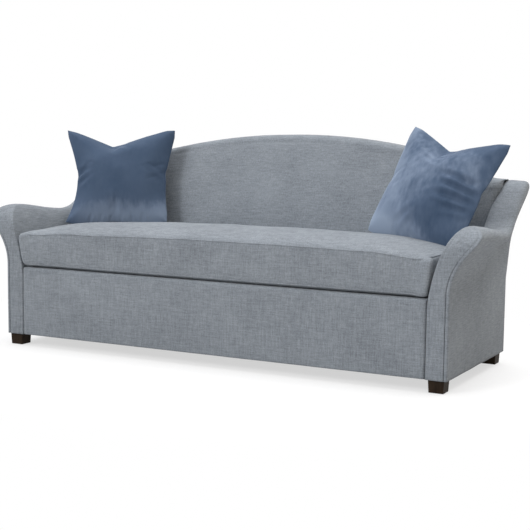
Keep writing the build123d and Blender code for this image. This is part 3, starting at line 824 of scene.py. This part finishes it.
# %% Inside back
camel_x = (0, 0.165, 0.32, 0.471, 0.588, 0.678, 0.74, 0.80, 0.86, 0.95)
camel_z = (0.921, 0.9162, 0.903, 0.8818, 0.8594, 0.8391, 0.811, 0.779, 0.757, 0.7475)
back_roll = 0.03
end_roll = 0.03
tack_roll = 0.008
end_margin, end_reach = 0.04, 0.012
profile_start, profile_step = 0.33, 0.005
face_crown = 0.012
back_columns, back_rows = 190, 110


def camel_top(x):
    """Height of the back's top across the sofa."""
    return between(camel_x, camel_z, min(abs(x), back_half))


def back_face_y(z):
    """Depth of the inside back's face at a height."""
    if z <= inside_back_rise:
        return inside_back_y
    t = (z - inside_back_rise) / (back_height - inside_back_rise)
    top_y = rear_line(back_height) - back_top_thickness
    return inside_back_y + t * (top_y - inside_back_y) - face_crown * 4 * t * (1 - t) * 1.15


def back_profile(x, count):
    """The back's profile at a place across, from the seat over the top to the rear."""
    top = camel_top(x)
    count_up = int((top - back_roll - profile_start) / profile_step) + 1
    heights = [profile_start + i * profile_step for i in range(count_up)]
    line = [Vector((back_face_y(z), z)) for z in heights]
    start = Vector((back_face_y(top - back_roll), top - back_roll))
    for angle in quarter_turn(12, 0):
        line.append(start + Vector((back_roll * (1 - cos(angle)) + 0.006 * angle, back_roll * sin(angle))))
    rear = rear_line(top) - 0.002
    line.append(Vector((rear - tack_roll, top)))
    for angle in quarter_turn(4):
        line.append(Vector((rear - tack_roll * (1 - sin(angle)), top - tack_roll * (1 - cos(angle)))))
    line.append(Vector((rear_line(top - 0.03) - 0.002, top - 0.03)))
    return spread(line, count)


def back_sheet():
    """The linen of the inside back."""
    columns = []
    for i in range(back_columns + 1):
        across = (2 * i / back_columns - 1) * (back_half + end_margin)
        past = abs(across) - (back_half - end_roll)
        if past <= 0:
            x, back_by = across, 0
        else:
            angle = min(past / end_roll, pi / 2)
            x = (back_half - end_roll + end_roll * sin(angle)) * (1 if across > 0 else -1)
            back_by = end_roll * (1 - cos(angle)) + max(0, past - end_roll * pi / 2) * 1.5
        column = []
        for point in back_profile(x, back_rows + 1):
            y = min(point.x + back_by, rear_line(point.y) - 0.002)
            over = end_reach * clamp((point.y - 0.67) / 0.05) * clamp((abs(x) - 0.9) / 0.03)
            column.append(Vector((x + (over if x > 0 else -over), max(y, point.x), point.y)))
        columns.append(column)

    def place(u, v):
        return columns[round(u * back_columns)][round(v * back_rows)]

    piece = cloth_grid("inside_back", back_columns, back_rows, place)
    face_towards(piece, lambda centre: Vector((0, -1, 0.3)))
    for vertex in piece.data.vertices:
        if vertex.co.z < camel_top(vertex.co.x) - 0.04:
            vertex.co.y += soft(vertex.co, 0.16, 0.003) + soft(vertex.co, 0.05, 0.0008)
    apply_modifier(piece, "SOLIDIFY", thickness=0.003, offset=-1)
    finish_piece(piece, linen, "linen")
    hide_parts("inside_back_cover", "inside_back_pad")
    return piece


back_sheet()
print("inside back made")


# %% [markdown]
# ## Outside back
# The rear is a flat panel of linen over the frame, blind-stitched round its edge. The CAD panel has the
# right outline, so a copy of it is used, with a small bevel along its edge.


# %% Outside back
def soften_copy(node, name, voxel, passes):
    """A copy of a CAD node with its points joined, made even and smooth where that is asked for."""
    source = nodes[node]
    piece = bpy.data.objects.new(name, source.data.copy())
    bpy.context.scene.collection.objects.link(piece)
    merge_close(piece, 0.00002)
    if voxel:
        apply_modifier(piece, "REMESH", mode="VOXEL", voxel_size=voxel)
    if passes:
        apply_modifier(piece, "SMOOTH", factor=0.5, iterations=passes)
    return piece


outside_back = soften_copy("outside_back", "outside_back_panel", 0, 0)
apply_modifier(outside_back, "BEVEL", width=0.0015, segments=2, limit_method="ANGLE")
finish_piece(outside_back, linen, "linen")
bpy.ops.object.shade_smooth_by_angle(angle=radians(40))
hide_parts("outside_back")

# %% [markdown]
# ## Front rail
# Below the cushion the front rail is wrapped in linen over a thin pad. Its top edge rolls back under the
# cushion, and its ends tuck against the arms.

# %% Front rail cover
rail_half = 0.9155
rail_roll = 0.012
rail_tuck = 0.006
rail_swell = 0.0015


def rail_point(u, v):
    """A point of the front rail's linen, from the hem up and back under the cushion."""
    x = (2 * u - 1) * rail_half
    end = min(1, (rail_half - abs(x)) / 0.008)
    tuck = rail_tuck * (1 - end) ** 2
    height = deck_z - hem_z
    hem = [(front_y + 0.01, hem_z), (front_y + 0.003, hem_z), (front_y, hem_z + 0.003)]
    line = [Vector(point) for point in (*hem, (front_y, deck_z - rail_roll))]
    for angle in quarter_turn(8):
        line.append(Vector((front_y + rail_roll * (1 - cos(angle)), deck_z - rail_roll * (1 - sin(angle)))))
    line.append(Vector((front_y + 0.1, deck_z)))
    point = spread(line, 101)[round(v * 100)]
    swell = rail_swell * sin(pi * clamp((point.y - hem_z) / height))
    uneven = soft((x, 0, point.y), 0.12, 0.0012)
    return Vector((x, point.x - swell + uneven * end + tuck, point.y))


front_rail_sheet = cloth_grid("front_rail_linen", 200, 100, rail_point)
face_towards(front_rail_sheet, lambda centre: Vector((0, -1, 0.2)))
apply_modifier(front_rail_sheet, "SOLIDIFY", thickness=0.002, offset=-1)
finish_piece(front_rail_sheet, linen, "linen")
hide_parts("front_rail_cover", "front_rail_pad")

# %% [markdown]
# ## Seat cushion
# The bench cushion is a boxed cover over foam: a crowned top, an upright border and welts along both seams.
# A copy of its core is remeshed, then cloth simulation blows the cover up a little, so that it pulls in at
# the seams and swells between them. The welts are laid on the simulated surface.


# %% Cushion cloth
crown_shift = 0.007
lean_right, lean_left = 0.017, 0.025
corner_reach, corner_tightness = 0.06, 6
welt_radius = 0.0032


def inflate(piece, pressure, frames, cap):
    """Blow a closed cover up with cloth simulation, no point further than the cap."""
    rest = [vertex.co.copy() for vertex in piece.data.vertices]
    bpy.context.view_layer.objects.active = piece
    cloth = piece.modifiers.new("cloth", "CLOTH")
    cloth.settings.use_pressure = True
    cloth.settings.uniform_pressure_force = pressure
    cloth.settings.tension_stiffness = 12
    cloth.settings.compression_stiffness = 12
    cloth.settings.bending_stiffness = 0.4
    cloth.settings.effector_weights.gravity = 0
    cloth.collision_settings.use_collision = False
    cloth.point_cache.frame_start = 1
    cloth.point_cache.frame_end = frames
    for step in range(1, frames + 1):
        bpy.context.scene.frame_set(step)
    bpy.ops.object.modifier_apply(modifier="cloth")
    for vertex, start in zip(piece.data.vertices, rest):
        moved = vertex.co - start
        if moved.length > cap:
            vertex.co = start + moved.normalized() * cap
    bpy.context.scene.frame_set(1)


def plump(x):
    """The stuffing lies a little higher from the middle to the right."""
    return crown_shift * clamp((x + 0.55) / 0.45) * clamp((0.9 - x) / 0.2)


def square_corner(across, forward, end, front):
    """Push a place near the cushion's front corner out towards a tighter corner."""
    reach, tightness = corner_reach, corner_tightness
    u, v = (across - end + reach) / reach, (forward - front + reach) / reach
    if u <= 0 or v <= 0:
        return across, forward
    out = (u * u + v * v) ** 0.5 / (u**tightness + v**tightness) ** (1 / tightness)
    return end - reach + reach * min(1, u * out), front - reach + reach * min(1, v * out)


def seat_cushion():
    """The bench cushion's cover."""
    piece = soften_copy("seat_cushion_core", "seat_cushion", 0.0115, 3)
    inflate(piece, 3.0, 18, 0.008)
    apply_modifier(piece, "SMOOTH", factor=0.5, iterations=3)
    low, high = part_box("seat_cushion_cover")
    for vertex in piece.data.vertices:
        co = vertex.co
        side = 1 if co.x > 0 else -1
        lean = (lean_right if side > 0 else lean_left) * clamp((co.z - deck_z) / 0.13)
        across = min(high.x + 0.001, abs(co.x)) + lean * clamp((abs(co.x) - 0.8) / 0.1)
        forward = -max(low.y - 0.001, min(high.y, co.y))
        across, forward = square_corner(across, forward, high.x + lean, -low.y)
        co.x, co.y = side * across, -forward
        upper = clamp((co.z - 0.4) / 0.08)
        co.z = max(low.z, co.z + (plump(co.x) + soft(co, 0.14, 0.0025)) * upper)
    apply_modifier(piece, "SUBSURF", levels=1, render_levels=1)
    finish_piece(piece, linen, "linen", "seat_cushion")
    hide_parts("seat_cushion_cover", "seat_cushion_core")
    return piece


cushion = seat_cushion()
print("cushion", len(cushion.data.polygons))


# %% Cushion welts
def cushion_seam(top):
    """The route of one welt round the cushion, a little outside where the seam lies."""
    half, rear, front, corner = 0.912, 0.151, -0.442, 0.03
    low_z, high_z, crown = 0.346, 0.489, 0.017
    route = []
    corners = ((half, front, -pi / 2), (half, rear, 0), (-half, rear, pi / 2), (-half, front, pi))
    for x, y, start in corners:
        centre = Vector((x - corner * (1 if x > 0 else -1), y - corner * (1 if y > 0 else -1)))
        for angle in quarter_turn(6, 0):
            out = Vector((cos(start + angle), sin(start + angle)))
            route.append(centre + corner * out)
    loop = [*route, route[0]]
    points = []
    for point in spread(loop, 361)[:-1]:
        swell = 1 - min(1, abs(point.x) / half) ** 4
        frontness = clamp((rear - point.y) / (rear - front))
        z = high_z + crown * swell * frontness + plump(point.x) if top else low_z
        points.append(Vector((point.x, point.y, z)))
    return points


def lay_welt(name, points, target, radius, body):
    """Lay a welt on the nearest places of a simulated surface."""
    corners = [vertex.co.copy() for vertex in target.data.vertices]
    tree = BVHTree.FromPolygons(corners, [tuple(face.vertices) for face in target.data.polygons])
    places = [tree.find_nearest(point)[0] for point in points]
    count = len(places)
    smooth = [sum((places[(i + k) % count] for k in range(-2, 3)), Vector()) / 5 for i in range(count)]
    finish_piece(welt(name, smooth, radius), linen, "linen", body)


lay_welt("seat_cushion_top_welt", cushion_seam(True), cushion, welt_radius, "seat_cushion")
lay_welt("seat_cushion_bottom_welt", cushion_seam(False), cushion, welt_radius, "seat_cushion")

# %% [markdown]
# ## Pillows
# Each pillow is two squares of velvet sewn edge to edge over a feather insert. Two flat sheets are blown up
# by cloth simulation, which draws the sides in and leaves the corners pointed, as real ones do. The result
# is then set between its four corners on the sofa, and its top edge is chopped in.

# %% Pillow shapes
pillow_cells = 56
pillow_cut = 0.52
loose = 0.25
flat_rise = 0.035
pillow_depth = 0.15
blunt_depth, blunt_start = 0.022, 1.76
chop_depth = 0.022


def flat_pillow(name, thickness):
    """Two flat squares sewn along their edge."""
    bpy.ops.object.select_all(action="DESELECT")
    cells = {"x_subdivisions": pillow_cells, "y_subdivisions": pillow_cells}
    bpy.ops.mesh.primitive_grid_add(**cells, size=pillow_cut)
    piece = bpy.context.object
    piece.name = name
    half = pillow_cut / 2
    for vertex in piece.data.vertices:
        a, b = vertex.co.x / half, vertex.co.y / half
        vertex.co.z = thickness * (max(0, (1 - a * a) * (1 - b * b)) ** 0.5)
    bpy.ops.object.mode_set(mode="EDIT")
    bpy.ops.mesh.select_all(action="SELECT")
    bpy.ops.mesh.duplicate()
    bpy.ops.transform.resize(value=(1, 1, -1), center_override=(0, 0, 0))
    bpy.ops.mesh.flip_normals()
    bpy.ops.mesh.select_all(action="SELECT")
    bpy.ops.mesh.remove_doubles(threshold=0.0005)
    bpy.ops.mesh.normals_make_consistent(inside=False)
    bpy.ops.object.mode_set(mode="OBJECT")
    return piece


def fold_depth(a, b, folds):
    """How deep the folds pressed into a pillow's face are at a place."""
    depth = 0
    for start, end, deep, width in folds:
        first, last, point = Vector(start), Vector(end), Vector((a, b))
        share = clamp((point - first).dot(last - first) / (last - first).length_squared)
        off = (point - first.lerp(last, share)).length / width
        ends = min(1, 4 * share + 0.15) * min(1, 4 * (1 - share) + 0.15)
        depth += deep * ends * (bell(off) - 0.55 * bell(off - 1.7))
    return depth


def pillow(name, body, corners, dips, crease, thickness, seed, folds):
    """A pillow between its corners, given from the bottom left by way of the bottom right.

    The dips are those of its bottom, right, top and left sides.
    """
    piece = flat_pillow(name, flat_rise)
    half = pillow_cut / 2
    cut = [(vertex.co.x / half, vertex.co.y / half) for vertex in piece.data.vertices]
    inflate(piece, 9.0, 30, 0.2)
    reach = max(abs(vertex.co.x) for vertex in piece.data.vertices)
    rise = max(abs(vertex.co.y) for vertex in piece.data.vertices)
    swell = max(abs(vertex.co.z) for vertex in piece.data.vertices)
    bottom_left, bottom_right, top_right, top_left = (Vector(corner) for corner in corners)
    across = (bottom_right - bottom_left + top_right - top_left).normalized()
    up = (top_left - bottom_left + top_right - bottom_right).normalized()
    front = across.cross(up).normalized()
    dip_bottom, dip_right, dip_top, dip_left = dips
    width = (bottom_right - bottom_left).length
    for vertex, (p, q) in zip(piece.data.vertices, cut):
        a = p + loose * (vertex.co.x / reach - p)
        b = q + loose * (vertex.co.y / rise - q)
        t = vertex.co.z / swell
        foot = bottom_left.lerp(bottom_right, (a + 1) / 2)
        base = foot.lerp(top_left.lerp(top_right, (a + 1) / 2), (b + 1) / 2)
        bow_x = 1 - b * b
        bow_y = 1 - a * a
        blunt = blunt_depth * max(0, abs(a) + abs(b) - blunt_start) / 0.24
        base -= (across * (1 if a > 0 else -1) + up * (1 if b > 0 else -1)) * width * blunt
        base += across * width * bow_x * (1 - 0.45 * b) * (dip_left * max(0, -a) - dip_right * max(0, a))
        chop = max(0, 1 - abs(a - crease) / (1 + abs(crease))) ** 1.25
        base += up * width * (dip_bottom * bow_y * max(0, -b) - dip_top * chop * max(0, b) ** 1.4)
        chopped = chop_depth * max(0, b) ** 1.5 * max(0, 1 - abs(a - crease) * 2.6)
        side = 1 if t > 0 else -1
        depth = t * thickness / 2 - side * chopped * min(1, abs(t) * 2)
        if side > 0:
            depth -= fold_depth(a, b, folds) * min(1, abs(t) * 4)
        near_seam = fading((1 - max(abs(a), abs(b))) / 0.09)
        depth += soft((a, b, side), 0.11, 0.0035, seed) * near_seam
        depth += soft((a, b, t), 0.45, 0.006, seed) * bow_x * bow_y
        vertex.co = base + front * depth
    apply_modifier(piece, "SUBSURF", levels=1, render_levels=1)
    finish_piece(piece, velvet, "velvet", body)
    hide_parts(f"{body}_cover", f"{body}_insert")
    return piece


left_bottom = (-0.946, -0.124, 0.502), (-0.498, 0.084, 0.512)
left_top = (-0.571, 0.266, 0.945), (-1.056, 0.050, 0.955)
right_bottom = (0.486, -0.001, 0.530), (0.942, -0.165, 0.487)
right_top = (1.092, 0.006, 0.901), (0.620, 0.194, 0.980)
left_folds = (
    ((-0.95, -0.05), (-0.62, 0.06), 0.008, 0.05),
    ((-0.93, -0.22), (-0.68, -0.14), 0.006, 0.05),
    *(((x / 10, -0.97), (x / 10 + 0.02, -0.8), 0.005, 0.028) for x in range(-5, 6, 2)),
)
right_folds = (
    ((0.2, 0.2), (0.85, 0.1), 0.008, 0.05),
    ((0.3, 0.02), (0.95, -0.05), 0.010, 0.045),
    ((0.2, -0.16), (0.9, -0.2), 0.010, 0.05),
    ((0.45, -0.36), (0.9, -0.34), 0.006, 0.045),
    ((-0.35, -0.75), (-0.1, -0.5), 0.005, 0.05),
    ((-0.5, 0.72), (0.05, 0.5), 0.006, 0.05),
    ((-0.35, 0.5), (0.1, 0.38), 0.005, 0.05),
)
left_dips, right_dips = (-0.02, 0.042, 0.205, 0.105), (-0.02, 0.02, 0.175, -0.01)
for hand, corners, dips, crease, seed, folds in (
    ("left", (*left_bottom, *left_top), left_dips, -0.125, 1.0, left_folds),
    ("right", (*right_bottom, *right_top), right_dips, -0.07, 2.0, right_folds),
):
    pillow(f"{hand}_velvet_pillow", f"{hand}_pillow", corners, dips, crease, pillow_depth, seed, folds)
print("pillows made")

# %% [markdown]
# ## Seat deck and dust cover
# Under the cushion lies a plain lining, and under the sofa a black cambric keeps the dust out. Both are
# flat cloths that sag a little between their tacks.

# %% Deck and dust cloths
deck_low, deck_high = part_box("deck_cloth")
dust_low, dust_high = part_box("dust_cover")


def sagging(low, high, level, sag, ripples):
    """The places of a flat cloth over a box, that sags a little between its tacks."""

    def place(u, v):
        x = low.x + u * (high.x - low.x)
        y = low.y + v * (high.y - low.y)
        tacked = min(1, 16 * u * (1 - u)) * min(1, 16 * v * (1 - v))
        uneven = 0.5 + noise.noise(Vector((x * ripples, y * ripples, 0)))
        return Vector((x, y, level - sag * tacked * uneven))

    return place


deck_place = sagging(deck_low, deck_high, deck_high.z - 0.0005, 0.002, 6)
dust_place = sagging(dust_low, dust_high, dust_low.z + 0.0005, 0.003, 5)
for name, node, place, up, material, slot in (
    ("deck_lining", "deck_cloth", deck_place, 1, lining, "lining"),
    ("dust_cambric", "dust_cover", dust_place, -1, cambric, "dust_cloth"),
):
    cloth_sheet = cloth_grid(name, 120, 50, place)
    face_towards(cloth_sheet, lambda centre: Vector((0, 0, up)))
    apply_modifier(cloth_sheet, "SOLIDIFY", thickness=0.001, offset=-1)
    finish_piece(cloth_sheet, material, slot)
    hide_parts(node)
    low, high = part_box(node)
